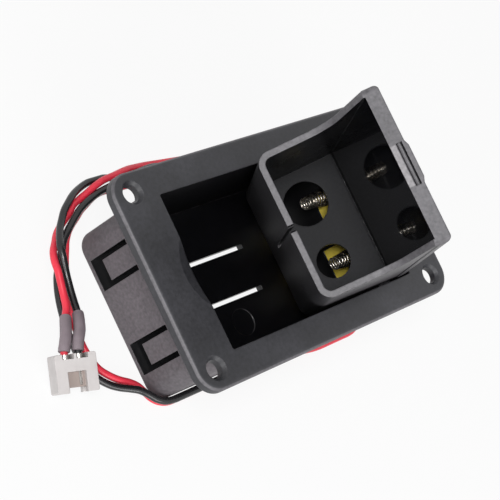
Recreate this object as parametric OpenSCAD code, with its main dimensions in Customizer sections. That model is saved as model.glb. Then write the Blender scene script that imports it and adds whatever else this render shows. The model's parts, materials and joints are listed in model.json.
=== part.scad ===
// Flip-out battery box for one 9 V block battery, for mounting in a panel cut-out.
// All sizes in millimetres. X along the long side, Z up, bottom of the box at Z = 0.

/* [Flange] */
// Flange length
flange_l = 72; // [66:0.5:90]
// Flange width
flange_w = 42; // [38:0.5:56]
// Flange thickness
flange_t = 2; // [1.4:0.1:4]
// Corner radius of the flange outline
flange_corner = 4.5; // [2:0.1:8]
// Radius of the rounded upper edge
flange_edge = 0.8; // [0.3:0.1:1.2]
// Screw hole spacing along the length
hole_dx = 63; // [58:0.5:82]
// Screw hole spacing across the width
hole_dy = 34; // [33:0.5:50]
// Screw hole diameter
hole_d = 3.4; // [2.4:0.1:4.2]
// Countersink diameter at the face
sink_d = 4.6; // [3.6:0.1:6.5]
// Countersink depth
sink_h = 0.7; // [0.3:0.1:1.2]

/* [Box] */
// Height from the bottom to the flange face
box_h = 24.4; // [24:0.1:30]
// Inside length of the box
box_in_l = 52; // [52:0.1:56]
// Inside width of the box
box_in_w = 30.5; // [30.3:0.1:33]
// Wall thickness
box_wall = 1.9; // [1.5:0.1:2.5]
// Floor thickness
box_floor = 1.5; // [1.2:0.1:1.6]
// Radius of the upright outer corners
box_corner = 3.6; // [2:0.1:5]
// Radius of the lower outer edge
box_edge = 1.0; // [0.4:0.1:1.3]
// Depth of the finger scoop at the flange face
scoop_depth = 2.7; // [1.5:0.1:3]
// Radius of the finger scoop at the flange face
scoop_r = 9.6; // [7:0.1:12]
// Depth of the finger scoop below the flange face
scoop_h = 0.8; // [0.5:0.1:1.4]
// Width of the gaps around the sprung tabs
tab_gap = 1.05; // [0.8:0.05:1.4]
// Width of a sprung tab
tab_w = 4.15; // [3:0.05:5]
// Distance of a sprung tab from the middle
tab_y = 8.62; // [7.5:0.05:9.5]
// Height of the root of the sprung tabs
tab_top = 13; // [11:0.1:16]
// Height of the free end of the sprung tabs
tab_end = 4.8; // [3.5:0.1:6]
// Width of the two slots in the floor
floor_slot_w = 0.9; // [0.6:0.1:1.6]
// Distance of the floor slots from the middle
floor_slot_y = 4.6; // [3:0.1:6]

/* [Tray] */
// Opening angle shown, 0 is shut
open_angle = 52; // [0:1:52]
// Gap between the tray and each side wall
tray_gap = 0.35; // [0.25:0.05:0.6]
// Wall thickness of the tray
tray_wall = 1.2; // [1:0.1:1.4]
// Inset of the tray walls from the edge of the lid
tray_inset = 0.2; // [0.1:0.05:0.3]
// Further inset of the walls at their lower edge
tray_draft = 0.25; // [0:0.05:0.3]
// Thickness of the lid
lid_t = 2.8; // [2.2:0.1:3]
// Gap between the lid's tip and the box
tip_gap = 0.4; // [0.3:0.05:0.8]
// Height inside the tray
tray_in_h = 18.2; // [17.9:0.05:18.3]
// Thickness of the end plate
plate_t = 1.1; // [0.8:0.1:1.1]
// Depth of the side walls from end plate to mouth
tray_mouth = 33.6; // [30:0.1:38]
// Radius between the mouth and the edge of the lid
mouth_r = 6; // [4:0.5:8]
// Height of the side walls at the lid's tip
lip_h = 0.3; // [0.2:0.1:1.5]
// Slope of the side walls along the lid, in degrees
lip_slope = 15; // [8:1:18]
// Outer radius of the two long lower corners
tray_corner = 2.6; // [2:0.1:4]
// Diameter of the hole for the large terminal
big_hole_d = 9.1; // [8.6:0.1:10]
// Diameter of the hole for the small terminal
small_hole_d = 6.9; // [6.7:0.1:7.4]
// Spacing of the terminal holes
terminal_pitch = 12.7; // [12.5:0.1:13]
// Pivot pin diameter
pivot_d = 3; // [2.4:0.1:3.2]
// Clearance around the pivot pins
pivot_gap = 0.08; // [0.04:0.02:0.1]

/* [Contacts] */
// Spacing of the contact springs
spring_pitch = 13.4; // [12.7:0.1:13.6]
// Length of a contact spring
spring_l = 6.3; // [5:0.1:6.5]
// Spring wire diameter
spring_wire = 0.44; // [0.36:0.02:0.6]
// Mean radius of the first spring turn
spring_r_base = 1.7; // [1.4:0.05:2.3]
// Mean radius of the last spring turn
spring_r_tip = 1.1; // [1:0.05:1.4]
// Number of spring turns
spring_turns = 8; // [5:0.5:9]
// Contact plate thickness
contact_t = 0.4; // [0.3:0.05:0.5]
// Clearance around the contact plates
contact_gap = 0.1; // [0.05:0.05:0.2]

/* [Lead] */
// Insulated wire diameter
wire_d = 1.4; // [1.2:0.1:1.6]
// Shrink sleeve diameter
sleeve_d = 2.2; // [2:0.1:2.3]
// Connector width
plug_w = 7.6; // [7.4:0.1:8.2]
// Connector length
plug_l = 6.9; // [6.5:0.1:8]
// Connector thickness
plug_h = 4.7; // [4.4:0.1:5]
// Spacing of the two ways in the connector
plug_pitch = 2.6; // [2.5:0.1:2.7]

/* [Hidden] */
$fn = 48;
eps = 0.01;
flange_z = box_h - flange_t;
in_x = box_in_l / 2;
in_y = box_in_w / 2;
out_x = in_x + box_wall;
out_y = in_y + box_wall;
reach = 2 * out_y + 6;
recess_corner = 0.5;
slot_x0 = 14 - in_x;
slot_x1 = in_x - 16.4;
scoop_over = 0.1;
mark_r = 2.8;
mark_depth = 0.15;
mark_at = [1, -9.7];
// Pivot position in the box
pivot_x = in_x - 2.8;
pivot_z = box_h - 4.7;
// Tray sizes measured from the pivot, tray shut
tray_hw = in_y - tray_gap;
wall_hw = tray_hw - tray_inset;
lid_top = box_h - pivot_z;
lid_low = lid_top - lid_t;
bay_low = lid_low - tray_in_h;
tray_low = bay_low - tray_wall;
plate_in = 1.1;
plate_out = plate_in + plate_t;
tip_x = -(pivot_x + in_x - tip_gap);
mouth_x = plate_in - tray_mouth;
hole_z = lid_low - 9.05;
root_reach = 2.4;
open_max = 52;
root_chamfer = 1.1;
slit_w = 0.6;
slit_y = -0.1;
slit_end = 10;
notch_r = 0.7;
slit_over = 1.5;
seam_w = 0.3;
lid_edge = 1;
tip_corner = 1;
grip_l = 8;
grip_r = 0.55;
grip_z = 1.75;
grip_raise = 0.4;
grip_taper = 1;
grip_depth = 2.2;
pin_out = 1.6;
// Sloped upper edge of the side walls and the round that meets it
lip_cx = mouth_x - mouth_r;
lip_cz = lid_low - lip_h - (lip_cx - tip_x) * tan(lip_slope) - mouth_r / cos(lip_slope);
// Height of the terminals in the box, tray shut
terminal_z = pivot_z + hole_z;
spring_x = in_x - spring_wire / 2;
// Contact plates and their tabs
plate_w = 6.8;
plate_pos_z0 = 6;
plate_neg_z0 = 9.8;
plate_z1 = 17;
plate_y = 6.4;
plate_neg_side = 1.2;
tab_t = contact_t;
tab_lug_w = 2.4;
tab_z = 15.6;
tab_x = in_x + 4.5;
solder_x = in_x + 3.2;
solder_h = 2;
solder_cap = 0.05;
solder_low = 0.15;
solder_high = 0.55;
wire_r = wire_d / 2;
sleeve_gap = 0.04;
// Connector position and tilt
plug_at = [-44.5, -6.7, 4.15];
plug_turn = [14, -18, -17];
plug_corner = 0.35;
way_w = 2.1;
way_h = 2.06;
way_notch = 0.9;
window_w = 3.4;
window_y = 0.3;
window_z = 1.35;
leg_l = 0.95;
peep_w = 0.5;
peep_l = 2.4;
peep_x = 0.6;
socket_w = 1.7;
socket_l = 3.25;
socket_bore = 1;
socket_back = 0.2;
socket_in = leg_l + socket_back;
barrel_r = 1;
barrel_y = 0.5;
barrel_l = 2.9;
crimp_l = 1.5;
crimp_gap = 0.1;
// Route of the lead: solder joint, once round the box, over itself to the sleeves
red_route = [
    [29.2, -6.4, 15.5], [29.2, -6.4, 11], [29.3, -6.2, 5.5], [30.2, -4, 2],
    [32, 1.5, 0.8], [32.4, 9, 0.8], [30.8, 16.2, 0.8], [26.2, 19.7, 0.8],
    [18, 21.2, 0.8], [5, 22.3, 0.8], [0, 22.7, 0.8], [-8, 23.5, 0.8],
    [-12, 23.7, 0.8], [-16, 23.9, 0.8], [-18.4, 23.8, 0.8], [-20.6, 23.2, 0.8],
    [-22.5, 22.4, 0.8], [-24.3, 21.6, 0.8], [-25.9, 20.6, 0.8], [-27.6, 19.6, 0.8],
    [-29.1, 18.5, 0.8], [-30.5, 17, 0.8], [-31.5, 15.4, 0.8], [-32.6, 13.6, 0.8],
    [-33.6, 11.7, 0.8], [-34.6, 9.3, 0.8], [-36.2, 5.2, 0.8], [-36.9, 2.6, 0.8],
    [-37.3, -0.4, 0.8], [-37.3, -3.7, 0.8], [-36.4, -7.2, 0.8], [-34.7, -9.3, 0.8],
    [-33, -10.7, 0.8], [-31.2, -11.8, 0.8], [-29.8, -13, 0.8], [-28.9, -14.5, 0.8],
    [-28.1, -16, 0.8], [-26.8, -17.2, 0.8], [-25, -17.9, 0.8], [-22, -18, 0.8],
    [-14, -18, 0.8], [8, -18.6, 0.8], [14, -19.8, 0.8], [18, -20.2, 0.8],
    [24, -20.2, 0.8], [29, -19.9, 0.8], [33, -17.6, 0.8], [36.2, -13, 0.8],
    [38.2, -5, 0.8], [38.2, 4, 0.8], [36.5, 12, 0.8], [32.7, 19.1, 0.8],
    [26.8, 23.2, 0.8], [20, 24.2, 0.8], [6, 25.4, 0.8], [0, 26, 0.8],
    [-5, 26.5, 0.8], [-8.2, 26.6, 1.3], [-11.4, 26.3, 2], [-14.4, 25.9, 2.4],
    [-17.3, 25.6, 2.5], [-19.7, 25, 2.3], [-21.4, 24.4, 1.7], [-23.2, 23.8, 0.9],
    [-25.2, 23.1, 0.8], [-26.9, 21.9, 0.8], [-28.6, 20.9, 0.8], [-30.3, 19.9, 0.8],
    [-31.8, 18.8, 0.8], [-33.4, 17.3, 1.3], [-35.3, 15.5, 2], [-36.3, 13.8, 2.5],
    [-36.8, 11.8, 2.8], [-37.2, 9.9, 2.7], [-37.8, 7.1, 2.5], [-38.6, 5, 2.7],
    [-39.8, 3.4, 2.9]];
black_route = [
    [29.2, 6.4, 15.5], [29.2, 6.4, 11], [29.2, 6.7, 5.5], [29.3, 8.6, 2],
    [29.2, 12.4, 0.8], [28.2, 15.7, 0.8], [26.5, 17.5, 0.8], [24.3, 18.2, 0.8], [18, 18.9, 0.8],
    [14, 19.4, 0.8], [9, 20.4, 1.3], [5, 21.7, 2.2], [1, 23.6, 2.4],
    [-3, 25.3, 2.2], [-7, 25.3, 2.2], [-11, 24.8, 2.2], [-14.6, 24.3, 2.3],
    [-19, 23.7, 2.3], [-21.4, 23.1, 2.3], [-23.5, 22.4, 2.3], [-25.4, 21.6, 2.3],
    [-27.1, 20.6, 2.3], [-28.9, 19.4, 2.3], [-30.6, 18.2, 2.3], [-32.1, 16.9, 2.1],
    [-33.2, 15.4, 1.9], [-34.1, 14, 1.4], [-35.2, 12.5, 1.1], [-36.2, 10.8, 0.8],
    [-37.2, 8.7, 0.8], [-38, 6.4, 0.8], [-38.6, 4, 0.8], [-39.1, 1.2, 0.8],
    [-39.3, -2, 0.8], [-38.9, -5.8, 0.8], [-37.5, -8.8, 0.8], [-35.6, -10.8, 0.8],
    [-33.9, -12, 1], [-32.2, -13, 1.5], [-30.7, -14, 2], [-29.5, -15.3, 2.3],
    [-28.2, -16.7, 2.3], [-26.5, -17.7, 2.3], [-24, -18.1, 2.3], [-14, -18.1, 2.3],
    [8, -18, 2.2], [13.5, -17.9, 1.2], [18, -18, 0.8], [25, -17.9, 0.8],
    [30.4, -16.4, 0.8], [34.2, -12.2, 0.8], [36.5, -4.6, 0.8], [36.5, 3.8, 0.8],
    [34.7, 11.4, 0.8], [31.3, 18.3, 0.8], [25.8, 21.8, 0.8], [19.6, 22.6, 0.8],
    [6, 23.8, 0.8], [-5, 24.9, 0.8], [-9, 25.2, 0.8], [-11.5, 25.3, 0.8],
    [-13.5, 25.9, 0.8], [-15.5, 26.4, 0.8], [-17.5, 26.5, 0.8], [-19.7, 26.4, 0.8],
    [-22.2, 25.8, 1], [-24.9, 24.8, 1.6], [-27.2, 23.5, 2.1], [-29.1, 22.2, 2.3],
    [-30.5, 20.8, 2.4], [-32, 19.3, 2.7], [-33.4, 17.6, 3.2], [-34.5, 15.9, 3.6],
    [-34.9, 14.2, 3.6], [-35.1, 12.5, 3.2], [-35.3, 10.6, 2.7], [-35.7, 7.9, 2.4],
    [-36.1, 5.8, 2.4], [-36.9, 3.3, 2.9]];
// Last part of each route, inside the sleeve and up to the crimp
red_tail = [[-39.8, 3.4, 2.9], [-41.2, 1.7, 3.6], [-42.5, 0.1, 4.2], [-43.7, -1.2, 4.6],
    [-44.8, -2.7, 4.6]];
black_tail = [[-36.9, 3.3, 2.9], [-38.2, 1.7, 3.9], [-39.6, 0, 4.7], [-41.2, -1.5, 5.3],
    [-42.5, -3.4, 5.4]];
red_crimp = [-45.3, -4.5, 4.2];
black_crimp = [-43, -5.2, 5];
wire_sides = 8;
spring_sides = 6;
spring_steps = 14;
spring_spread = 1.15;

function unit(v) = v / norm(v);
function heading(p, i) = unit(p[min(i + 1, len(p) - 1)] - p[max(i - 1, 0)]);
function ring(c, d, r, n) = let (s = unit(cross(d, [0.35, 0.25, 0.9])), t = cross(s, d))
    [for (k = [0 : n - 1]) c + r * (cos(360 * k / n) * s + sin(360 * k / n) * t)];
function skin(m, n) = [for (i = [0 : m - 2]) for (k = [0 : n - 1]) for (h = [0, 1])
    h == 0 ? [i * n + k, (i + 1) * n + k, (i + 1) * n + (k + 1) % n]
           : [i * n + k, (i + 1) * n + (k + 1) % n, i * n + (k + 1) % n]];
function cap_a(n) = [for (k = [0 : n - 1]) k];
function cap_b(m, n) = [for (k = [n - 1 : -1 : 0]) (m - 1) * n + k];

// Round tube along a list of points
module tube(path, r, n) {
    m = len(path);
    pts = [for (i = [0 : m - 1]) each ring(path[i], heading(path, i), r, n)];
    polyhedron(points = pts, faces = concat(skin(m, n), [cap_a(n)], [cap_b(m, n)]), convexity = 10);
}

module rounded_rect(hx, hy, r) {
    square([2 * hx, 2 * (hy - r)], center = true);
    square([2 * (hx - r), 2 * hy], center = true);
    for (sx = [-1, 1], sy = [-1, 1]) {
        translate([sx * (hx - r), sy * (hy - r)]) circle(r);
    }
}

// Slab with rounded upright corners and one rounded edge at its top
module soft_slab(hx, hy, r, h, e) {
    linear_extrude(h - e) rounded_rect(hx, hy, r);
    linear_extrude(h) rounded_rect(hx - e, hy - e, r - e);
    for (s = [-1, 1]) {
        translate([0, s * (hy - e), h - e]) rotate([0, 90, 0])
            cylinder(r = e, h = 2 * (hx - r), center = true);
        translate([s * (hx - e), 0, h - e]) rotate([90, 0, 0])
            cylinder(r = e, h = 2 * (hy - r), center = true);
    }
    for (sx = [-1, 1], sy = [-1, 1]) {
        translate([sx * (hx - r), sy * (hy - r), h - e]) rotate_extrude() translate([r - e, 0]) circle(e);
    }
}

module screw_hole() {
    translate([0, 0, -eps]) cylinder(d = hole_d, h = flange_t + 2 * eps);
    translate([0, 0, flange_t - sink_h]) cylinder(d1 = hole_d, d2 = sink_d, h = sink_h);
}

module sprung_tab_gaps() {
    half = tab_w / 2 + tab_gap;
    for (s = [-1, 1]) {
        translate([-out_x - 1, s * (half - tab_gap / 2) - tab_gap / 2, box_floor])
            cube([box_wall + 2, tab_gap, tab_top - box_floor]);
    }
    translate([-out_x - 1, -half, box_floor]) cube([box_wall + 2, 2 * half, tab_end - box_floor]);
}

// Pocket for a contact plate and slot for its lug
module plate_pocket(z0, side) {
    translate([in_x - eps, -plate_w / 2 - contact_gap, z0 - contact_gap])
        cube([contact_t + eps, plate_w / 2 + side + 2 * contact_gap, plate_z1 - z0 + 2 * contact_gap]);
    translate([in_x, -tab_lug_w / 2 - contact_gap, tab_z - contact_gap])
        cube([box_wall + 1, tab_lug_w + 2 * contact_gap, tab_t + 2 * contact_gap]);
}

module housing() {
    color("#3c3c40") difference() {
        union() {
            translate([0, 0, flange_z])
                soft_slab(flange_l / 2, flange_w / 2, flange_corner, flange_t, flange_edge);
            translate([0, 0, flange_z + 1]) mirror([0, 0, 1])
                soft_slab(out_x, out_y, box_corner, flange_z + 1, box_edge);
        }
        translate([0, 0, box_floor]) linear_extrude(box_h) rounded_rect(in_x, in_y, recess_corner);
        translate([-in_x + scoop_r - scoop_depth, 0, box_h - scoop_h])
            cylinder(r1 = scoop_r - scoop_depth, r2 = scoop_r + scoop_over * scoop_depth / scoop_h,
                h = scoop_h + scoop_over);
        for (sx = [-1, 1], sy = [-1, 1]) {
            translate([sx * hole_dx / 2, sy * hole_dy / 2, flange_z]) screw_hole();
        }
        for (s = [-1, 1]) {
            translate([0, s * tab_y, 0]) sprung_tab_gaps();
            translate([slot_x0, s * floor_slot_y - floor_slot_w / 2, -eps])
                cube([slot_x1 - slot_x0, floor_slot_w, box_floor + 2 * eps]);
            translate([pivot_x, s * (in_y + box_wall / 2), pivot_z]) rotate([90, 0, 0])
                cylinder(d = pivot_d + 2 * pivot_gap, h = box_wall + 1, center = true);
        }
        translate([mark_at[0], mark_at[1], box_floor - mark_depth]) cylinder(r = mark_r, h = 2 * mark_depth);
        translate([0, -plate_y, 0]) plate_pocket(plate_pos_z0, plate_w / 2);
        translate([0, plate_y, 0]) plate_pocket(plate_neg_z0, plate_neg_side);
    }
}

// Outline of the walls: narrower at the lower edge, with round lower corners
module wall_outline(top_hw, low_hw, low, top, r) {
    polygon([[-top_hw, top], [-low_hw, low + r], [low_hw, low + r], [top_hw, top]]);
    translate([-low_hw + r, low]) square([2 * (low_hw - r), 2 * r]);
    for (s = [-1, 1]) {
        translate([s * (low_hw - r), low + r]) circle(r);
    }
}

module lid_outline() {
    translate([-tray_hw, lid_low]) square([2 * tray_hw, lid_t - lid_edge]);
    translate([-tray_hw + lid_edge, lid_low]) square([2 * (tray_hw - lid_edge), lid_t]);
    for (s = [-1, 1]) {
        translate([s * (tray_hw - lid_edge), lid_top - lid_edge]) circle(lid_edge);
    }
}

// Latch lip: sunk in the lid, narrower toward its top
module grip_outline() {
    low = lid_top - grip_raise;
    half = grip_l / 2;
    polygon([[-half, low], [half, low], [half, lid_top], [half - grip_taper, lid_top + grip_raise],
        [grip_taper - half, lid_top + grip_raise], [-half, lid_top]]);
}

// Runs a (Y, Z) outline along X from x0 to x1
module along_x(x0, x1) {
    translate([x0, 0, 0]) rotate([90, 0, 90]) linear_extrude(x1 - x0) children();
}

// Runs an (X, Z) outline along Y through the whole width
module across_y(w) {
    rotate([90, 0, 0]) linear_extrude(w, center = true) children();
}

// Mouth: upright edge, round, then a slope to the lid's tip
module mouth_cut() {
    slope_x = lip_cx + mouth_r * sin(lip_slope);
    slope_z = lip_cz + mouth_r * cos(lip_slope);
    end_x = tip_x - 1;
    polygon([[mouth_x, tray_low - 1], [mouth_x, lip_cz], [lip_cx, lip_cz], [slope_x, slope_z],
        [end_x, slope_z + (slope_x - end_x) * tan(lip_slope)], [end_x, tray_low - 1]]);
    translate([lip_cx, lip_cz]) circle(mouth_r);
}

module upright_corner(r, h) {
    difference() {
        translate([-r - 1, -r - 1, 0]) cube([r + 1, r + 1, h]);
        translate([0, 0, -eps]) cylinder(r = r, h = h + 2 * eps);
    }
}

// Tray with the pivot at the origin, shut
module tray_body() {
    low_hw = wall_hw - tray_draft;
    difference() {
        union() {
            along_x(tip_x, plate_out) lid_outline();
            along_x(tip_x, plate_out) wall_outline(wall_hw, low_hw, tray_low, lid_low + eps, tray_corner);
        }
        along_x(tip_x - 1, plate_in)
            wall_outline(wall_hw - tray_wall, low_hw - tray_wall, bay_low, lid_low, tray_corner - tray_wall);
        across_y(reach) mouth_cut();
        rotate([0, 90 - open_max, 0]) translate([-reach / 2, -reach / 2, root_reach])
            cube([reach, reach, reach / 4]);
        translate([plate_out, 0, tray_low]) rotate([0, 45, 0])
            cube([root_chamfer, reach, root_chamfer], center = true);
        translate([0, terminal_pitch / 2, hole_z]) rotate([0, 90, 0])
            cylinder(d = big_hole_d, h = reach / 4, center = true);
        translate([0, -terminal_pitch / 2, hole_z]) rotate([0, 90, 0])
            cylinder(d = small_hole_d, h = reach / 4, center = true);
        translate([plate_in - eps, tray_wall - wall_hw, lid_low - seam_w])
            cube([seam_w, 2 * (wall_hw - tray_wall), seam_w]);
        translate([mouth_x - 1, slit_y - slit_w / 2, tray_low - 1])
            cube([tray_mouth - slit_end, slit_w, tray_wall + slit_over]);
        translate([mouth_x, slit_y, tray_low - 1]) cylinder(r = notch_r, h = tray_wall + slit_over);
        translate([tip_x, 0, lid_low + grip_z]) rotate([90, 0, 0])
            cylinder(r = grip_r, h = grip_l, center = true);
        for (s = [0, 1]) {
            mirror([0, s, 0]) translate([tip_x + tip_corner, tip_corner - tray_hw, lid_low - lip_h - 1])
                upright_corner(tip_corner, lid_t + lip_h + 2);
        }
    }
    along_x(tip_x, tip_x + grip_depth) grip_outline();
    for (s = [-1, 1]) {
        translate([0, s * (tray_hw + pin_out - 1), 0]) rotate([90, 0, 0])
            cylinder(d = pivot_d, h = 2, center = true);
    }
}

module tray() {
    color("#2e2e32") translate([pivot_x, 0, pivot_z]) rotate([0, open_angle, 0]) tray_body();
}

// Conical coil on the contact wall, thin end toward the battery
module coil(y) {
    steps = spring_turns * spring_steps;
    coil_l = spring_l - spring_wire;
    path = [for (i = [0 : steps]) let (f = i / steps, w = 360 * spring_turns * f,
        r = spring_r_base + (spring_r_tip - spring_r_base) * f)
        [spring_x - coil_l * pow(f, spring_spread), y + r * cos(w), terminal_z + r * sin(w)]];
    tube(path, spring_wire / 2, spring_sides);
}

module contact_spring_positive() {
    color("#b9bcc2") coil(-spring_pitch / 2);
}

module contact_spring_negative() {
    color("#b9bcc2") coil(spring_pitch / 2);
}

// Plate with its solder lug through the wall
module contact_plate(z0, side) {
    translate([in_x, -plate_w / 2, z0]) cube([contact_t, plate_w / 2 + side, plate_z1 - z0]);
    translate([in_x, -tab_lug_w / 2, tab_z]) cube([tab_x - in_x, tab_lug_w, tab_t]);
}

module contact_plate_positive() {
    color("#d8b83c") translate([0, -plate_y, 0]) contact_plate(plate_pos_z0, plate_w / 2);
}

module contact_plate_negative() {
    color("#d8b83c") translate([0, plate_y, 0]) contact_plate(plate_neg_z0, plate_neg_side);
}

module solder_joint() {
    difference() {
        translate([solder_x, 0, tab_z - solder_h])
            cylinder(r1 = wire_r + solder_low, r2 = wire_r + solder_high, h = solder_h);
        translate([solder_x, 0, tab_z - solder_h - 1])
            cylinder(r = wire_r, h = solder_h + 1 - solder_cap);
    }
}

module solder_joint_positive() {
    color("#c4c6ca") translate([0, -plate_y, 0]) solder_joint();
}

module solder_joint_negative() {
    color("#c4c6ca") translate([0, plate_y, 0]) solder_joint();
}

module red_wire() {
    path = concat(red_route, [for (i = [1 : 4]) red_tail[i]], [red_crimp]);
    color("#e8384c") tube(path, wire_r, wire_sides);
}

module black_wire() {
    path = concat(black_route, [for (i = [1 : 4]) black_tail[i]], [black_crimp]);
    color("#2a2a2e") tube(path, wire_r, wire_sides);
}

// Hollow tube along a list of points
module pipe(path, r, bore, n) {
    m = len(path);
    k0 = m * n;
    last = k0 - n;
    outer = [for (i = [0 : m - 1]) each ring(path[i], heading(path, i), r, n)];
    inner = [for (i = [0 : m - 1]) each ring(path[i], heading(path, i), bore, n)];
    bore_skin = [for (f = skin(m, n)) [f[2] + k0, f[1] + k0, f[0] + k0]];
    end_a = [for (k = [0 : n - 1]) for (h = [0, 1]) let (j = (k + 1) % n)
        h == 0 ? [k, j, k0 + j] : [k, k0 + j, k0 + k]];
    end_b = [for (k = [0 : n - 1]) for (h = [0, 1]) let (j = (k + 1) % n)
        h == 0 ? [last + j, last + k, last + k0 + k] : [last + j, last + k0 + k, last + k0 + j]];
    polyhedron(points = concat(outer, inner), faces = concat(skin(m, n), bore_skin, end_a, end_b),
        convexity = 10);
}

module sleeve_red() {
    color("#7a7276") pipe(red_tail, sleeve_d / 2, wire_r + sleeve_gap, wire_sides);
}

module sleeve_black() {
    color("#7a7276") pipe(black_tail, sleeve_d / 2, wire_r + sleeve_gap, wire_sides);
}

module in_plug() {
    translate(plug_at) rotate(plug_turn) children();
}

// Shell with two legs beside its window, open between them at the mouth
module connector_shell() {
    color("#dcd4d0") in_plug() difference() {
        translate([0, 0, -plug_h / 2]) linear_extrude(plug_h)
            rounded_rect(plug_w / 2, plug_l / 2, plug_corner);
        for (s = [-1, 1]) {
            translate([s * plug_pitch / 2 - way_w / 2, -plug_l, -way_h / 2]) cube([way_w, 2 * plug_l, way_h]);
            translate([s * plug_pitch / 2 - way_w / 2, plug_l / 2 - way_notch, 0])
                cube([way_w, 2 * way_notch, plug_h]);
        }
        translate([-window_w / 2, -plug_l, window_z]) cube([window_w, plug_l + window_y, plug_h]);
        translate([-window_w / 2, -plug_l, -plug_h]) cube([window_w, plug_l / 2 + leg_l, 2 * plug_h]);
        translate([peep_x, window_y - peep_l, 0]) cube([peep_w, peep_l, plug_h]);
    }
}

// Crimped socket: box contact in the way, barrel round the wire
module terminal(s) {
    in_plug() translate([s * plug_pitch / 2, 0, 0]) {
        difference() {
            translate([-socket_w / 2, socket_in - plug_l / 2, -socket_w / 2])
                cube([socket_w, socket_l, socket_w]);
            translate([-socket_bore / 2, -plug_l, -socket_bore / 2])
                cube([socket_bore, plug_l + socket_in / 2, socket_bore]);
        }
        translate([0, barrel_y, 0]) rotate([-90, 0, 0]) difference() {
            cylinder(r = barrel_r, h = barrel_l);
            translate([0, 0, barrel_l - crimp_l]) cylinder(r = wire_r + crimp_gap, h = 2 * crimp_l);
        }
    }
}

module connector_terminal_red() {
    color("#c0c2c6") terminal(-1);
}

module connector_terminal_black() {
    color("#c0c2c6") terminal(1);
}

housing();
tray();
contact_spring_positive();
contact_spring_negative();
contact_plate_positive();
contact_plate_negative();
solder_joint_positive();
solder_joint_negative();
red_wire();
black_wire();
sleeve_red();
sleeve_black();
connector_shell();
connector_terminal_red();
connector_terminal_black();
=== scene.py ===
import json
import math

import bpy
import numpy as np
from mathutils import Euler, Matrix, Vector


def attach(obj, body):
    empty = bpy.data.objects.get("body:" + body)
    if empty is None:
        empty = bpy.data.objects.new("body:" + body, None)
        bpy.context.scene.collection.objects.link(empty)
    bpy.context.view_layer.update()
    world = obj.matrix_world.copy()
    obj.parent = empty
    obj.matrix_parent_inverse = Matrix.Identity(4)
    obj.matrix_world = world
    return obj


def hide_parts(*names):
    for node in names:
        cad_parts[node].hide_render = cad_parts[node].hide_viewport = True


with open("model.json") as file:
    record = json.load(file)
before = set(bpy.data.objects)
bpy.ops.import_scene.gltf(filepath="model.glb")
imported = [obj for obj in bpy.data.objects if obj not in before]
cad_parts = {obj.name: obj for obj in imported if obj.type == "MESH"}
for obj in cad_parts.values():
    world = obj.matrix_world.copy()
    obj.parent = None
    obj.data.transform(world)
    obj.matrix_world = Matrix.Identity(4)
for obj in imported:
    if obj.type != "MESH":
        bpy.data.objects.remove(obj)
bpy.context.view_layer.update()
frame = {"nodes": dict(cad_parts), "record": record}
nodes = frame["nodes"]
slotOf = {row["node"]: row["material_slot"] for row in frame["record"]["subparts"]}
mm = 0.001
print("frame loaded:", len(nodes), "nodes")


# Shader maths: a wrapped socket, so that masks read as plain expressions
class Sock:
    def __init__(self, tree, socket):
        self.tree = tree
        self.socket = socket

    def node(self, kind, settings=None, inputs=None, out=0):
        made = self.tree.nodes.new(kind)
        for key, value in (settings or {}).items():
            setattr(made, key, value)
        for key, value in (inputs or {}).items():
            plug(self.tree, made.inputs[key], value)
        return Sock(self.tree, made.outputs[out])

    def math(self, op, a, b):
        return self.node("ShaderNodeMath", {"operation": op}, {0: a, 1: b})

    def __add__(self, other):
        return self.math("ADD", self, other)

    def __radd__(self, other):
        return self.math("ADD", other, self)

    def __sub__(self, other):
        return self.math("SUBTRACT", self, other)

    def __rsub__(self, other):
        return self.math("SUBTRACT", other, self)

    def __mul__(self, other):
        return self.math("MULTIPLY", self, other)

    def __rmul__(self, other):
        return self.math("MULTIPLY", other, self)

    def __abs__(self):
        return self.math("ABSOLUTE", self, 0.0)

    def top(self, other):  # the larger of two values
        return self.math("MAXIMUM", self, other)

    def axis(self, k):  # x, y or z of a vector
        return self.node("ShaderNodeSeparateXYZ", {}, {0: self}, out=k)

    def dot(self, other):  # of two vectors
        return self.node("ShaderNodeVectorMath", {"operation": "DOT_PRODUCT"},
                         {0: self, 1: other}, out="Value")

    def ramp(self, low, high):  # 0 below low, 1 above high
        return self.node("ShaderNodeMapRange", {"clamp": True, "interpolation_type": "SMOOTHSTEP"},
                         {"Value": self, "From Min": low, "From Max": high})

    def fall(self, low, high):  # 1 below low, 0 above high
        return 1 - self.ramp(low, high)

    def blend(self, colourA, colourB):  # colourA where this is 0, colourB where it is 1
        return self.node("ShaderNodeMix", {"data_type": "RGBA"},
                         {"Factor": self, 6: colourA, 7: colourB}, out=2)

    def scaled(self, amount):  # a colour made lighter or darker
        return self.node("ShaderNodeVectorMath", {"operation": "SCALE"}, {0: self, "Scale": amount})


def plug(tree, socket, value):
    if isinstance(value, Sock):
        tree.links.new(value.socket, socket)
    elif isinstance(value, (tuple, list)) and len(value) == 3 and socket.type == "RGBA":
        socket.default_value = (*value, 1.0)
    else:
        socket.default_value = value


def startMaterial(name):
    material = bpy.data.materials.new(name)
    material.use_nodes = True
    tree = material.node_tree
    coords = tree.nodes.new("ShaderNodeTexCoord")
    return material, tree.nodes["Principled BSDF"], Sock(tree, coords.outputs["Object"])


def finishMaterial(shader, values):
    for key, value in values.items():
        plug(shader.id_data, shader.inputs[key], value)


def noise(place, scale, detail=2.0):
    return place.node("ShaderNodeTexNoise", {}, {"Vector": place, "Scale": scale, "Detail": detail})


def bump(height, strength, distance, under=None):
    inputs = {"Height": height, "Strength": strength, "Distance": distance}
    if under is not None:
        inputs["Normal"] = under
    return height.node("ShaderNodeBump", {}, inputs)


def roundedNormal(place, radius):  # as if every edge had this radius
    return place.node("ShaderNodeBevel", {"samples": 6}, {"Radius": radius})


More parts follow.
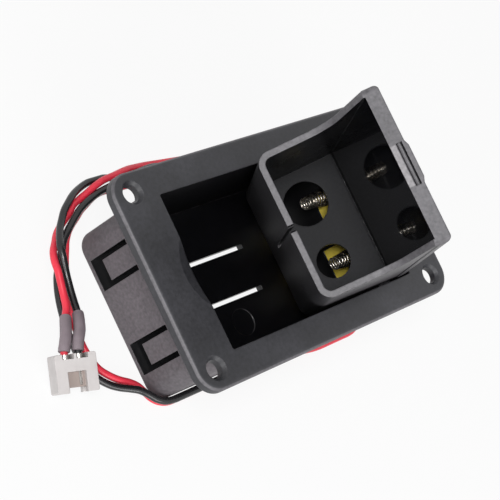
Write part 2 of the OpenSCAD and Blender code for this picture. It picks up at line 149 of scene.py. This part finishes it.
# Black moulded plastic: cloudy tone, eroded grain, edges rounded, and a painted pale edge highlight broken
# into patches.
# A "Range" or "Facing" pair is where a mask starts to change and where it ends; a facing is a cosine.
# A tone with a number is a layer over the base, colour and roughness. Glossy layers lose the grain
plasticLook = {"cloud": 90.0, "mottle": 1500.0, "grain": 5200.0, "highlightPatches": 700.0, "edge": 0.3 * mm,
               "cloudRange": (0.35, 0.7), "edgeRange": (0.03, 0.30), "highlightPatchRange": (0.3, 0.6),
               "edgeHighlightTone": (0.13, 0.125, 0.133), "edgeHighlightShare": 0.55, "dullRange": (0.08, 0.34),
               "mottleLow": 0.4, "mottleGain": 1.2, "cloudLow": 0.6, "cloudGain": 0.8,
               "roughCloud": 0.10, "roughMottle": 0.15, "roughGrain": 0.12,
               "grainStrength": 0.25, "grainDepth": 0.04 * mm}
boxLook = {"tone": (0.024, 0.024, 0.028), "cloudTone": (0.031, 0.031, 0.036), "rough": 0.46, "shine": 0.5,
           "inX": 26.1 * mm, "inY": 15.35 * mm, "brim": 24.0 * mm, "under": 22.3 * mm, "soft": 0.15 * mm,
           "outRange": (12.5 * mm, 14.5 * mm), "slotHigh": 13.1 * mm, "edgeLow": 23.5 * mm,
           "edgeFacing": (0.15, 0.4), "flatFacing": (0.8, 0.95),
           "hole": (31.5 * mm, 17.0 * mm), "sink": 2.6 * mm, "sinkSoft": 0.9,
           # Painted light: the outer walls below the flange are painted paler for the light falling on
           # them; their higher roughness is a duller finish
           # Painted shade: the recess inside the box gets a near-black tone for the shade in it
           "paintedRecessShade": ((0.003, 0.003, 0.004), 0.34), "wall": ((0.102, 0.091, 0.100), 0.62),
           # Painted highlight: the flange's rounded edges are painted paler, the countersinks left out
           # Painted shade: the slot faces in the end walls are painted near black
           "slots": ((0.004, 0.004, 0.005), 0.50), "paintedEdgeHighlight": ((0.100, 0.095, 0.104), 0.50)}
# Painted shade: the tray's base tone is near black for the shade in its bay; it stays on the bay's inner
# walls and, with a gloss, on the lid's inner face
trayLook = {"tone": (0.0035, 0.0035, 0.0045), "cloudTone": (0.005, 0.005, 0.006), "rough": 0.30,
            "shine": 0.35, "opened": 52.0, "pivot": (23.2 * mm, 0.0, 19.7 * mm), "soft": 0.3 * mm,
            "plateRange": (6.0 * mm, 8.0 * mm), "bayRange": (13.4 * mm, 13.55 * mm), "side": 14.1 * mm,
            "lidLow": 1.9 * mm, "lidRange": (0.5 * mm, 1.2 * mm), "underHigh": -14.5 * mm,
            "latchDepth": 48.0 * mm, "latchHalf": 4.0 * mm, "latchHigh": 3.1 * mm,
            "mouthFacing": (0.75, 0.95), "lidFacing": (0.9, 0.98), "sideFacing": (0.8, 0.95),
            "underFacing": (0.15, 0.5), "lipFacing": (0.1, 0.2), "lipTopFacing": (0.1, 0.3),
            "lidInside": ((0.0035, 0.0035, 0.0045), 0.05), "lidOutside": ((0.022, 0.022, 0.025), 0.46),
            # Painted light: the tray's outer side faces are painted paler for the light falling on them
            "underside": ((0.024, 0.023, 0.026), 0.50), "paintedSideLight": ((0.060, 0.057, 0.062), 0.45),
            # Painted highlight: the rims and the lid's tip face are painted pale grey
            "paintedRimHighlight": ((0.112, 0.108, 0.116), 0.42), "plate": ((0.020, 0.020, 0.023), 0.66),
            # Painted highlight: a strip on the lid's latch is painted pale
            "paintedLatchHighlight": ((0.25, 0.24, 0.25), 0.40)}


def boxLayers(place, facing, look):
    x, y, z = place.axis(0), place.axis(1), place.axis(2)
    up = facing.axis(2)
    soft = look["soft"]
    # Painted shade: the recess's walls and floor below the brim are painted near black
    inside = abs(x).fall(look["inX"], look["inX"] + soft) * abs(y).fall(look["inY"], look["inY"] + soft)
    inside = inside * z.fall(look["brim"] - soft, look["brim"] + soft)
    # Painted light: outward faces below the flange get the paler wall tone
    outside = (facing.axis(0) * x + facing.axis(1) * y).ramp(*look["outRange"])
    outside = outside * z.fall(look["under"] - soft, look["under"])
    # Painted shade: faces inside the end walls, below the slot height, are darkened
    slots = abs(x).ramp(look["inX"] - soft, look["inX"]) * (1 - outside)
    slots = slots * z.fall(look["slotHigh"], look["slotHigh"] + soft)
    # Painted highlight: sloping faces at the top of the flange, its rounded edges, get a paler tone
    paintedEdgeHighlight = up.ramp(*look["edgeFacing"]) * up.fall(*look["flatFacing"])
    paintedEdgeHighlight = paintedEdgeHighlight * z.ramp(look["edgeLow"], look["edgeLow"] + soft)
    fromHoleX, fromHoleY = abs(x) - look["hole"][0], abs(y) - look["hole"][1]
    fromHoleSquared = fromHoleX * fromHoleX + fromHoleY * fromHoleY
    paintedEdgeHighlight = paintedEdgeHighlight * fromHoleSquared.ramp(look["sinkSoft"] * look["sink"] ** 2, look["sink"] ** 2)
    return [(inside, *look["paintedRecessShade"]), (outside, *look["wall"]), (slots, *look["slots"]),
            (paintedEdgeHighlight, *look["paintedEdgeHighlight"])]


# The tray's masks are in its own axes: depth toward its mouth and height toward its lid, from the pivot
def trayLayers(place, facing, look):
    turn = math.radians(look["opened"])
    mouthWay = Vector((-math.cos(turn), 0.0, math.sin(turn)))
    lidWay = Vector((math.sin(turn), 0.0, math.cos(turn)))
    pivot = Vector(look["pivot"])
    soft = look["soft"]
    depth = place.dot(mouthWay) - mouthWay.dot(pivot)
    height = place.dot(lidWay) - lidWay.dot(pivot)
    across = abs(place.axis(1))
    toMouth, toLid, toBottom = facing.dot(mouthWay), facing.dot(lidWay), facing.dot(-lidWay)
    atMouth = toMouth.ramp(*look["mouthFacing"])
    deep = depth.fall(*look["plateRange"])
    inWall = across.ramp(*look["bayRange"])
    # Painted shade: the lid's inner face keeps the near-black base tone, with a gloss
    lidInside = toBottom.ramp(*look["lidFacing"]) * height.ramp(*look["lidRange"]) * (1 - inWall)
    lidOutside = toLid.ramp(*look["lidFacing"]) * height.ramp(look["lidLow"], look["lidLow"] + soft)
    under = toBottom.ramp(*look["underFacing"]) * height.fall(look["underHigh"] - soft, look["underHigh"])
    # Painted light: outward side faces of the tray walls get a paler tone
    paintedSideLight = abs(facing.axis(1)).ramp(*look["sideFacing"]) * across.ramp(look["side"], look["side"] + soft)
    # Painted highlight: the wall rims and mouth-facing faces away from the end plate get the pale rim tone
    lip = inWall * toMouth.ramp(*look["lipFacing"]) * toLid.fall(*look["lipTopFacing"])
    # Painted highlight: the latch strip on the lid's tip gets a pale tone
    paintedLatchHighlight = atMouth * depth.ramp(look["latchDepth"], look["latchDepth"] + soft)
    paintedLatchHighlight = paintedLatchHighlight * height.fall(look["latchHigh"] - soft, look["latchHigh"])
    paintedLatchHighlight = paintedLatchHighlight * across.fall(look["latchHalf"] - soft, look["latchHalf"])
    return [(lidInside, *look["lidInside"]), (lidOutside, *look["lidOutside"]), (under, *look["underside"]),
            (paintedSideLight, *look["paintedSideLight"]), (lip, *look["paintedRimHighlight"]), (atMouth * (1 - deep), *look["paintedRimHighlight"]),
            (atMouth * deep, *look["plate"]), (paintedLatchHighlight, *look["paintedLatchHighlight"])]


def mouldedPlastic(name, look, layersOf, regions):
    material, shader, place = startMaterial(name)
    facing = place.node("ShaderNodeTexCoord", out="Normal")
    cloud = noise(place, look["cloud"], detail=3.0)
    mottle = noise(place, look["mottle"], detail=3.0)
    grain = noise(place, look["grain"])
    highlightPatches = noise(place, look["highlightPatches"])
    tone = cloud.ramp(*look["cloudRange"]).blend(regions["tone"], regions["cloudTone"])
    rough = regions["rough"]
    for mask, layerTone, layerRough in layersOf(place, facing, regions):
        tone = mask.blend(tone, layerTone)
        rough = rough + mask * (layerRough - rough)
    rounded = roundedNormal(place, look["edge"])
    flat = place.node("ShaderNodeNewGeometry", out="True Normal")
    # Painted highlight: rounded edges are painted pale, broken into patches by a noise
    edge = (1 - rounded.dot(flat)).ramp(*look["edgeRange"]) * highlightPatches.ramp(*look["highlightPatchRange"])
    tone = (edge * look["edgeHighlightShare"]).blend(tone, look["edgeHighlightTone"])
    mottleShade = look["mottleLow"] + look["mottleGain"] * mottle
    cloudShade = look["cloudLow"] + look["cloudGain"] * cloud
    dull = rough.ramp(*look["dullRange"])
    uneven = look["roughCloud"] * (cloud - 0.5) + look["roughMottle"] * (mottle - 0.5)
    uneven = uneven + look["roughGrain"] * (grain - 0.5)
    relief = bump(grain * dull, look["grainStrength"], look["grainDepth"], rounded)
    finishMaterial(shader, {"Base Color": tone.scaled(mottleShade * cloudShade), "Normal": relief,
                            "Roughness": rough + dull * uneven, "Specular IOR Level": regions["shine"]})
    return material


# Metal: drawn or rolled lines along one axis, small stains
metalLook = {"lines": 4000.0, "patches": 420.0, "stainRange": (0.45, 0.75), "roughLines": 0.2,
             "roughPatches": 0.15, "lineStrength": 0.15, "lineDepth": 0.03 * mm}


def rolledMetal(name, colour, stain, rough, stretch, metallic=1.0):
    look = metalLook
    material, shader, place = startMaterial(name)
    along = place.node("ShaderNodeMapping", {}, {"Vector": place, "Scale": stretch})
    lines = noise(along, look["lines"])
    patches = noise(place, look["patches"], detail=3.0)
    tone = patches.ramp(*look["stainRange"]).blend(colour, stain)
    rough = rough + look["roughLines"] * (lines - 0.5) + look["roughPatches"] * (patches - 0.5)
    finishMaterial(shader, {"Base Color": tone, "Metallic": metallic, "Roughness": rough,
                            "Normal": bump(lines, look["lineStrength"], look["lineDepth"])})
    return material


# Wire insulation and sleeves: soft extruded plastic with a slightly uneven skin
skinLook = {"cloud": 260.0, "cloudRange": (0.3, 0.75), "roughGrain": 0.15, "grainStrength": 0.2,
            "grainDepth": 0.03 * mm}


def softSkin(name, colour, shade, rough, grainScale):
    look = skinLook
    material, shader, place = startMaterial(name)
    cloud = noise(place, look["cloud"])
    grain = noise(place, grainScale)
    tone = cloud.ramp(*look["cloudRange"]).blend(colour, shade)
    finishMaterial(shader, {"Base Color": tone, "Roughness": rough + look["roughGrain"] * (grain - 0.5),
                            "Normal": bump(grain, look["grainStrength"], look["grainDepth"])})
    return material


# White nylon: warm, slightly cloudy, fine grain, rounded edges.
# Its sunk window is painted a darker beige as shade in the recess, masked in the plug's own axes
plugLook = {"at": (-44.5 * mm, -6.7 * mm, 4.15 * mm), "turn": (14.0, -18.0, -17.0), "half": 1.75 * mm,
            "end": 0.35 * mm, "sunk": 1.6 * mm, "above": 1.1 * mm, "soft": 0.1 * mm,
            "paintedWindowShade": (0.30, 0.245, 0.222), "cloud": 320.0, "cloudRange": (0.3, 0.75), "grain": 5200.0,
            "rough": 0.42, "roughGrain": 0.12, "edge": 0.2 * mm, "grainStrength": 0.2,
            "grainDepth": 0.03 * mm}


def paleNylon(name, colour, shade, look):
    material, shader, place = startMaterial(name)
    axes = Euler([math.radians(v) for v in look["turn"]]).to_matrix()
    x, y, z = (place.dot(axes.col[k]) - axes.col[k].dot(Vector(look["at"])) for k in range(3))
    soft = look["soft"]
    # Painted shade: the sunk window's inside is painted a darker beige
    window = abs(x).fall(look["half"] - soft, look["half"]) * y.fall(look["end"] - soft, look["end"])
    window = window * z.ramp(look["above"] - soft, look["above"])
    window = window * z.fall(look["sunk"] - soft, look["sunk"])
    cloud = noise(place, look["cloud"], detail=3.0)
    grain = noise(place, look["grain"])
    rounded = roundedNormal(place, look["edge"])
    tone = cloud.ramp(*look["cloudRange"]).blend(colour, shade)
    rough = look["rough"] + look["roughGrain"] * (grain - 0.5)
    finishMaterial(shader, {"Base Color": window.blend(tone, look["paintedWindowShade"]), "Roughness": rough,
                            "Normal": bump(grain, look["grainStrength"], look["grainDepth"], rounded)})
    return material


# One finish for each material slot; the two black mouldings have their own, by node
finishes = {
    "housing": mouldedPlastic("moulded black box", plasticLook, boxLayers, boxLook),
    "tray": mouldedPlastic("moulded black tray", plasticLook, trayLayers, trayLook),
    "spring_steel": rolledMetal("spring wire", (0.62, 0.58, 0.52), (0.40, 0.36, 0.30),
                                rough=0.26, stretch=(1.0, 0.2, 0.2)),
    "brass": rolledMetal("brass sheet", (1.0, 0.78, 0.11), (0.90, 0.66, 0.09),
                         rough=0.40, stretch=(1.0, 1.0, 0.08), metallic=0.1),
    "solder": rolledMetal("solder", (0.66, 0.67, 0.69), (0.50, 0.50, 0.52),
                          rough=0.25, stretch=(1.0, 1.0, 1.0)),
    "red_insulation": softSkin("red insulation", (0.82, 0.038, 0.070), (0.70, 0.028, 0.055),
                               rough=0.38, grainScale=3600.0),
    "black_insulation": softSkin("black insulation", (0.008, 0.008, 0.009), (0.013, 0.012, 0.014),
                                 rough=0.26, grainScale=3600.0),
    "sleeve_grey": softSkin("shrink sleeve", (0.265, 0.216, 0.240), (0.225, 0.185, 0.205),
                            rough=0.60, grainScale=2600.0),
    "white_nylon": paleNylon("white nylon", (0.55, 0.522, 0.515), (0.50, 0.47, 0.462), plugLook),
    "tinned_contact": rolledMetal("tinned contact", (0.42, 0.40, 0.38), (0.28, 0.26, 0.24),
                                  rough=0.32, stretch=(1.0, 0.1, 1.0)),
}


def dress(obj, nodeName):
    obj.data.materials.clear()
    obj.data.materials.append(finishes.get(nodeName) or finishes[slotOf[nodeName]])


for nodeName, obj in nodes.items():
    dress(obj, nodeName)
print("materials made:", len(finishes))


# Puts a grid of points into a mesh: rows along the path, columns round the profile, both ends capped
def gridMesh(name, points):
    rows, cols = points.shape[:2]
    i, j = np.meshgrid(np.arange(rows - 1), np.arange(cols), indexing="ij")
    k = (j + 1) % cols
    here, after = i * cols, (i + 1) * cols
    quads = np.stack([here + j, here + k, after + k, after + j], axis=-1).reshape(-1, 4)
    caps = [np.arange(cols)[::-1].tolist(), ((rows - 1) * cols + np.arange(cols)).tolist()]
    mesh = bpy.data.meshes.new(name)
    mesh.from_pydata(points.reshape(-1, 3).tolist(), [], quads.tolist() + caps)
    smooth = np.ones(len(mesh.polygons), dtype=bool)
    smooth[-2:] = False
    mesh.polygons.foreach_set("use_smooth", smooth)
    mesh.update()
    obj = bpy.data.objects.new(name, mesh)
    bpy.context.collection.objects.link(obj)
    return obj


def placePiece(obj, nodeName):
    dress(obj, nodeName)
    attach(obj, "box")
    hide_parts(nodeName)
    return obj


# Smooth line through points: a cubic on each span, its end slopes taken from the two neighbours
def smoothLine(points, perSpan):
    knots = np.concatenate([[0.0], np.cumsum(np.sqrt(np.linalg.norm(np.diff(points, axis=0), axis=1)))])
    slope = np.gradient(points, knots, axis=0)
    t = np.linspace(0.0, 1.0, perSpan, endpoint=False)[None, :, None]
    h = np.diff(knots)[:, None, None]
    a, b = points[:-1, None, :], points[1:, None, :]
    sa, sb = slope[:-1, None, :] * h, slope[1:, None, :] * h
    line = (2 * t**3 - 3 * t**2 + 1) * a + (t**3 - 2 * t**2 + t) * sa
    line = line + (3 * t**2 - 2 * t**3) * b + (t**3 - t**2) * sb
    return np.concatenate([line.reshape(-1, 3), points[-1:]])


# Round tube: circles square to the line, each with its own radius
def tubePoints(line, radius, around, lean=(0.35, 0.25, 0.9)):
    ahead = np.gradient(line, axis=0)
    ahead /= np.linalg.norm(ahead, axis=1, keepdims=True)
    side = np.cross(ahead, np.array(lean))
    side /= np.linalg.norm(side, axis=1, keepdims=True)
    turn = np.linspace(0.0, 2 * np.pi, around, endpoint=False)[None, :, None]
    ring = np.cos(turn) * side[:, None, :] + np.sin(turn) * np.cross(side, ahead)[:, None, :]
    return line[:, None, :] + np.reshape(radius, (-1, 1, 1)) * ring


# The lead: the same route points as the solids, in millimetres
lead = {"diameter": 1.4, "perSpan": 8, "around": 20, "margin": 0.06}
redRoute = np.array([
    [29.2, -6.4, 15.5], [29.2, -6.4, 11], [29.3, -6.2, 5.5], [30.2, -4, 2], [32, 1.5, 0.8],
    [32.4, 9, 0.8], [30.8, 16.2, 0.8], [26.2, 19.7, 0.8], [18, 21.2, 0.8], [5, 22.3, 0.8],
    [0, 22.7, 0.8], [-8, 23.5, 0.8], [-12, 23.7, 0.8], [-16, 23.9, 0.8], [-18.4, 23.8, 0.8],
    [-20.6, 23.2, 0.8], [-22.5, 22.4, 0.8], [-24.3, 21.6, 0.8], [-25.9, 20.6, 0.8], [-27.6, 19.6, 0.8],
    [-29.1, 18.5, 0.8], [-30.5, 17, 0.8], [-31.5, 15.4, 0.8], [-32.6, 13.6, 0.8], [-33.6, 11.7, 0.8],
    [-34.6, 9.3, 0.8], [-36.2, 5.2, 0.8], [-36.9, 2.6, 0.8], [-37.3, -0.4, 0.8], [-37.3, -3.7, 0.8],
    [-36.4, -7.2, 0.8], [-34.7, -9.3, 0.8], [-33, -10.7, 0.8], [-31.2, -11.8, 0.8], [-29.8, -13, 0.8],
    [-28.9, -14.5, 0.8], [-28.1, -16, 0.8], [-26.8, -17.2, 0.8], [-25, -17.9, 0.8], [-22, -18, 0.8],
    [-14, -18, 0.8], [8, -18.6, 0.8], [14, -19.8, 0.8], [18, -20.2, 0.8], [24, -20.2, 0.8],
    [29, -19.9, 0.8], [33, -17.6, 0.8], [36.2, -13, 0.8], [38.2, -5, 0.8], [38.2, 4, 0.8],
    [36.5, 12, 0.8], [32.7, 19.1, 0.8], [26.8, 23.2, 0.8], [20, 24.2, 0.8], [6, 25.4, 0.8],
    [0, 26, 0.8], [-5, 26.5, 0.8], [-8.2, 26.6, 1.3], [-11.4, 26.3, 2], [-14.4, 25.9, 2.4],
    [-17.3, 25.6, 2.5], [-19.7, 25, 2.3], [-21.4, 24.4, 1.7], [-23.2, 23.8, 0.9], [-25.2, 23.1, 0.8],
    [-26.9, 21.9, 0.8], [-28.6, 20.9, 0.8], [-30.3, 19.9, 0.8], [-31.8, 18.8, 0.8], [-33.4, 17.3, 1.3],
    [-35.3, 15.5, 2], [-36.3, 13.8, 2.5], [-36.8, 11.8, 2.8], [-37.2, 9.9, 2.7], [-37.8, 7.1, 2.5],
    [-38.6, 5, 2.7], [-39.8, 3.4, 2.9]])
blackRoute = np.array([
    [29.2, 6.4, 15.5], [29.2, 6.4, 11], [29.2, 6.7, 5.5], [29.3, 8.6, 2], [29.2, 12.4, 0.8],
    [28.2, 15.7, 0.8], [26.5, 17.5, 0.8], [24.3, 18.2, 0.8], [18, 18.9, 0.8], [14, 19.4, 0.8],
    [9, 20.4, 1.3], [5, 21.7, 2.2], [1, 23.6, 2.4], [-3, 25.3, 2.2], [-7, 25.3, 2.2],
    [-11, 24.8, 2.2], [-14.6, 24.3, 2.3], [-19, 23.7, 2.3], [-21.4, 23.1, 2.3], [-23.5, 22.4, 2.3],
    [-25.4, 21.6, 2.3], [-27.1, 20.6, 2.3], [-28.9, 19.4, 2.3], [-30.6, 18.2, 2.3], [-32.1, 16.9, 2.1],
    [-33.2, 15.4, 1.9], [-34.1, 14, 1.4], [-35.2, 12.5, 1.1], [-36.2, 10.8, 0.8], [-37.2, 8.7, 0.8],
    [-38, 6.4, 0.8], [-38.6, 4, 0.8], [-39.1, 1.2, 0.8], [-39.3, -2, 0.8], [-38.9, -5.8, 0.8],
    [-37.5, -8.8, 0.8], [-35.6, -10.8, 0.8], [-33.9, -12, 1], [-32.2, -13, 1.5], [-30.7, -14, 2],
    [-29.5, -15.3, 2.3], [-28.2, -16.7, 2.3], [-26.5, -17.7, 2.3], [-24, -18.1, 2.3], [-14, -18.1, 2.3],
    [8, -18, 2.2], [13.5, -17.9, 1.2], [18, -18, 0.8], [25, -17.9, 0.8], [30.4, -16.4, 0.8],
    [34.2, -12.2, 0.8], [36.5, -4.6, 0.8], [36.5, 3.8, 0.8], [34.7, 11.4, 0.8], [31.3, 18.3, 0.8],
    [25.8, 21.8, 0.8], [19.6, 22.6, 0.8], [6, 23.8, 0.8], [-5, 24.9, 0.8], [-9, 25.2, 0.8],
    [-11.5, 25.3, 0.8], [-13.5, 25.9, 0.8], [-15.5, 26.4, 0.8], [-17.5, 26.5, 0.8], [-19.7, 26.4, 0.8],
    [-22.2, 25.8, 1], [-24.9, 24.8, 1.6], [-27.2, 23.5, 2.1], [-29.1, 22.2, 2.3], [-30.5, 20.8, 2.4],
    [-32, 19.3, 2.7], [-33.4, 17.6, 3.2], [-34.5, 15.9, 3.6], [-34.9, 14.2, 3.6], [-35.1, 12.5, 3.2],
    [-35.3, 10.6, 2.7], [-35.7, 7.9, 2.4], [-36.1, 5.8, 2.4], [-36.9, 3.3, 2.9]])
redTail = np.array([
    [-39.8, 3.4, 2.9], [-41.2, 1.7, 3.6], [-42.5, 0.1, 4.2], [-43.7, -1.2, 4.6], [-44.8, -2.7, 4.6]])
blackTail = np.array([
    [-36.9, 3.3, 2.9], [-38.2, 1.7, 3.9], [-39.6, 0, 4.7], [-41.2, -1.5, 5.3], [-42.5, -3.4, 5.4]])
redCrimp = np.array([[-45.3, -4.5, 4.2]])
blackCrimp = np.array([[-43, -5.2, 5]])


# Wire: a tube along the smoothed route, held inside the box of its route points
def makeWire(name, route, tail, crimp, nodeName):
    points = np.concatenate([route, tail[1:], crimp])
    line = smoothLine(points, lead["perSpan"])
    line = np.clip(line, points.min(axis=0), points.max(axis=0) - lead["margin"]) * mm
    wire = placePiece(gridMesh(name, tubePoints(line, lead["diameter"] * mm / 2, lead["around"])), nodeName)
    length = float(np.linalg.norm(np.diff(line, axis=0), axis=1).sum())
    print(name, "length", round(length, 4))
    return wire, line, length


redWire, redLine, redLength = makeWire(
    "redInsulatedWire", redRoute, redTail, redCrimp, "red_wire")
blackWire, blackLine, blackLength = makeWire(
    "blackInsulatedWire", blackRoute, blackTail, blackCrimp, "black_wire")

# Shrink sleeves: a tube on the tail of the wire, its radius rounding down to the wire at both cut ends.
# The ripple is a sine along the sleeve times a slower cosine, and only thins it
sleeve = {"diameter": 2.2, "bore": 1.43, "lip": 0.025, "ripple": 0.02, "rippleTurn": 37, "slowTurn": 11,
          "rings": 120, "around": 28}


def makeSleeve(name, wireLine, tail, nodeName):
    last = len(wireLine) - 1 - lead["perSpan"]
    part = wireLine[last - lead["perSpan"] * (len(tail) - 1):last + 1]
    s = 0.5 - 0.5 * np.cos(np.linspace(0.0, np.pi, sleeve["rings"]))
    at = s * (len(part) - 1)
    line = np.stack([np.interp(at, np.arange(len(part)), part[:, k]) for k in range(3)], axis=1)
    e = np.clip(np.minimum(s, 1 - s) / sleeve["lip"], 0.0, 1.0)
    wave = np.sin(sleeve["rippleTurn"] * s) * np.cos(sleeve["slowTurn"] * s)
    full = sleeve["diameter"] / 2 - sleeve["ripple"] * (1 + wave) / 2
    radius = sleeve["bore"] / 2 + (full - sleeve["bore"] / 2) * np.sqrt(1 - (1 - e) ** 2)
    return placePiece(gridMesh(name, tubePoints(line, radius * mm, sleeve["around"])), nodeName)


redSleeve = makeSleeve("redWireSleeve", redLine, redTail, "sleeve_red")
blackSleeve = makeSleeve("blackWireSleeve", blackLine, blackTail, "sleeve_black")

print("lead laid")

# Contact springs: a round wire on a conical coil, wide turn on the wall, thin end toward the battery
coil = {"wall": 25.78, "height": 12.55, "apart": 13.4, "wire": 0.44, "long": 6.3, "wide": 1.7, "thin": 1.1,
        "turns": 8, "spread": 1.15, "lean": (1, 0, 0), "perTurn": 40, "around": 14}


def makeCoil(name, side, nodeName):
    f = np.linspace(0.0, 1.0, coil["turns"] * coil["perTurn"] + 1)
    turn = 2 * np.pi * coil["turns"] * f
    r = coil["wide"] + (coil["thin"] - coil["wide"]) * f
    x = coil["wall"] - (coil["long"] - coil["wire"]) * f ** coil["spread"]
    y = side * coil["apart"] / 2 + r * np.cos(turn)
    z = coil["height"] + r * np.sin(turn)
    line = np.stack([x, y, z], axis=1) * mm
    points = tubePoints(line, coil["wire"] * mm / 2, coil["around"], coil["lean"])
    placePiece(gridMesh(name, points), nodeName)


makeCoil("positiveSpring", -1, "contact_spring_positive")
makeCoil("negativeSpring", 1, "contact_spring_negative")

# Solder: a fillet that climbs from the wire to the lug on a curve, slightly lumpy round its axis
solder = {"x": 29.2, "y": 6.4, "low": 13.6, "high": 15.6, "thin": 0.72, "wide": 1.24, "curve": 1.7,
          "lump": 0.05, "lobes": 3, "twist": 5, "rings": 24, "around": 32}


def makeSolder(name, side, nodeName):
    t = np.linspace(0.0, 1.0, solder["rings"])[:, None]
    turn = np.linspace(0.0, 2 * np.pi, solder["around"], endpoint=False)[None, :]
    r = solder["thin"] + (solder["wide"] - solder["thin"]) * t ** solder["curve"]
    wave = np.sin(solder["lobes"] * turn + solder["twist"] * t)
    r = r * (1 - solder["lump"] * t * (1 + wave) / 2)
    x = solder["x"] + r * np.cos(turn)
    y = side * solder["y"] + r * np.sin(turn)
    z = solder["low"] + (solder["high"] - solder["low"]) * t + 0 * turn
    placePiece(gridMesh(name, np.stack([x, y, z], axis=2) * mm), nodeName)


makeSolder("positiveSolder", -1, "solder_joint_positive")
makeSolder("negativeSolder", 1, "solder_joint_negative")
print("springs and solder made")

# Camera: turned from +X toward +Y, looking down, rolled about its own axis
cameraSetup = {"azimuth": 7.418, "elevation": 44.842, "roll": 59.077, "distance": 315.933,
               "slide": (-2.125, -0.8), "target": (0.0, 0.0, 15.0), "lens": 118.722, "sensor": 36.0,
               "clip": 0.01}


def makeCamera(setup):
    az, el, roll = (math.radians(setup[key]) for key in ("azimuth", "elevation", "roll"))
    look = Vector((math.cos(el) * math.cos(az), math.cos(el) * math.sin(az), -math.sin(el)))
    level = Vector((math.sin(az), -math.cos(az), 0.0))
    down = look.cross(level)
    right = math.cos(roll) * level - math.sin(roll) * down
    down = math.sin(roll) * level + math.cos(roll) * down
    at = Vector(setup["target"]) - look * setup["distance"]
    at = at + right * setup["slide"][0] + down * setup["slide"][1]
    data = bpy.data.cameras.new("photo camera")
    data.sensor_width = setup["sensor"]
    data.lens = setup["lens"]
    data.clip_start = setup["clip"]
    camera = bpy.data.objects.new("photo camera", data)
    camera.matrix_world = Matrix.Translation(at * mm) @ Matrix((right, -down, -look)).transposed().to_4x4()
    bpy.context.collection.objects.link(camera)
    bpy.context.scene.camera = camera


makeCamera(cameraSetup)

# Floor and light: a flat pale floor and soft lamps; the camera and the reflections see white
studio = {"floorSize": 4.0, "floorTone": 0.82, "floorRough": 0.9, "whiteShare": 0.88, "worldLight": 0.30,
          "lampsAimAt": (0.0, 0.0, 0.02)}
lamps = {"front softbox": {"at": (-0.56, 0.0, 0.72), "size": 0.24, "power": 4.5},
         "low side panel": {"at": (-0.80, -0.10, 0.22), "size": 0.5, "power": 1.7},
         "near fill": {"at": (-0.25, -0.70, 0.30), "size": 0.5, "power": 3.0}}


def seenWhite(tree):  # 1 on rays from the camera, in reflections and through glass
    path = tree.nodes.new("ShaderNodeLightPath")
    camera, gloss, through = (Sock(tree, path.outputs[key]) for key in
                              ("Is Camera Ray", "Is Glossy Ray", "Is Transmission Ray"))
    return camera.top(gloss).top(through)


def makeFloor(setup):
    half = setup["floorSize"] / 2
    corners = [(-half, -half, 0), (half, -half, 0), (half, half, 0), (-half, half, 0)]
    mesh = bpy.data.meshes.new("pale floor")
    mesh.from_pydata(corners, [], [(0, 1, 2, 3)])
    floor = bpy.data.objects.new("paleFloor", mesh)
    bpy.context.collection.objects.link(floor)
    material, shader, place = startMaterial("pale floor")
    tree = place.tree
    finishMaterial(shader, {"Base Color": (setup["floorTone"],) * 3, "Roughness": setup["floorRough"]})
    glow = tree.nodes.new("ShaderNodeEmission")
    mixed = tree.nodes.new("ShaderNodeMixShader")
    plug(tree, mixed.inputs[0], seenWhite(tree) * setup["whiteShare"])
    tree.links.new(shader.outputs[0], mixed.inputs[1])
    tree.links.new(glow.outputs[0], mixed.inputs[2])
    tree.links.new(mixed.outputs[0], tree.nodes["Material Output"].inputs["Surface"])
    mesh.materials.append(material)


def makeWorld(setup):
    world = bpy.data.worlds.new("white studio")
    world.use_nodes = True
    bpy.context.scene.world = world
    background = world.node_tree.nodes["Background"]
    background.inputs["Color"].default_value = (1.0, 1.0, 1.0, 1.0)
    level = setup["worldLight"] + seenWhite(world.node_tree) * (1.0 - setup["worldLight"])
    plug(world.node_tree, background.inputs["Strength"], level)


def makeLamp(name, setup, aim):
    data = bpy.data.lights.new(name, "AREA")
    data.shape = "DISK"
    data.size = setup["size"]
    data.energy = setup["power"]
    lamp = bpy.data.objects.new(name, data)
    lamp.location = setup["at"]
    lamp.rotation_euler = (Vector(aim) - lamp.location).to_track_quat("-Z", "Y").to_euler()
    bpy.context.collection.objects.link(lamp)


makeFloor(studio)
makeWorld(studio)
for lampName, lampSetup in lamps.items():
    makeLamp(lampName, lampSetup, studio["lampsAimAt"])
print("studio lit")

bpy.context.scene.view_settings.view_transform = "Standard"
